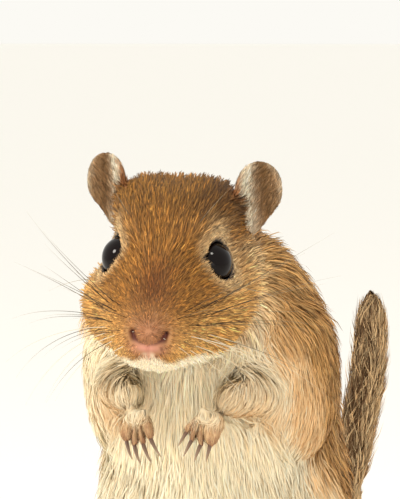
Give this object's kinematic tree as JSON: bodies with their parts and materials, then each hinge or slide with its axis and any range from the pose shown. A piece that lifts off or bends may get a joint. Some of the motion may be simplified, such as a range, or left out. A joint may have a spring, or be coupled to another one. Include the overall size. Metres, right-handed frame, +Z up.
{
  "type": "gerbil",
  "caption": "Life-size still model of an adult Mongolian gerbil sitting bolt upright, forepaws hanging at the chest, tail swung up behind.",
  "frame": {"origin": "middle of the small flat under the rump, on the floor", "axes": "-Y forward, the way the body faces; +X to the animal's own left; +Z up"},
  "size_m": [0.0452, 0.0966, 0.0976],
  "materials": {
    "coat_brown": "short agouti fur, golden brown ticked with black",
    "coat_cream": "soft cream fur over a grey undercoat",
    "paw_skin": "pinkish skin with sparse cream hairs",
    "nose_skin": "bare, slightly moist pink-brown skin",
    "eye": "wet, nearly black",
    "claw": "dark horn, paler at the tip"
  },
  "bodies": {
    "root": {"head": "coat_brown", "nose": "nose_skin", "neck": "coat_brown", "torso": "coat_cream", "ear_left": "coat_brown", "eye_left": "eye", "thigh_left": "coat_brown", "foreleg_left": "coat_cream", "forepaw_left": "paw_skin", "claw_fore_left_1": "claw", "claw_fore_left_2": "claw", "claw_fore_left_3": "claw", "claw_fore_left_4": "claw", "hindfoot_left": "coat_cream", "claw_hind_left_1": "claw", "claw_hind_left_2": "claw", "claw_hind_left_3": "claw", "claw_hind_left_4": "claw", "claw_hind_left_5": "claw", "ear_right": "coat_brown", "eye_right": "eye", "thigh_right": "coat_brown", "foreleg_right": "coat_cream", "forepaw_right": "paw_skin", "claw_fore_right_1": "claw", "claw_fore_right_2": "claw", "claw_fore_right_3": "claw", "claw_fore_right_4": "claw", "hindfoot_right": "coat_cream", "claw_hind_right_1": "claw", "claw_hind_right_2": "claw", "claw_hind_right_3": "claw", "claw_hind_right_4": "claw", "claw_hind_right_5": "claw", "tail_root": "coat_brown", "tail_middle": "coat_brown", "tail_brush": "coat_brown"}
  },
  "joints": []
}
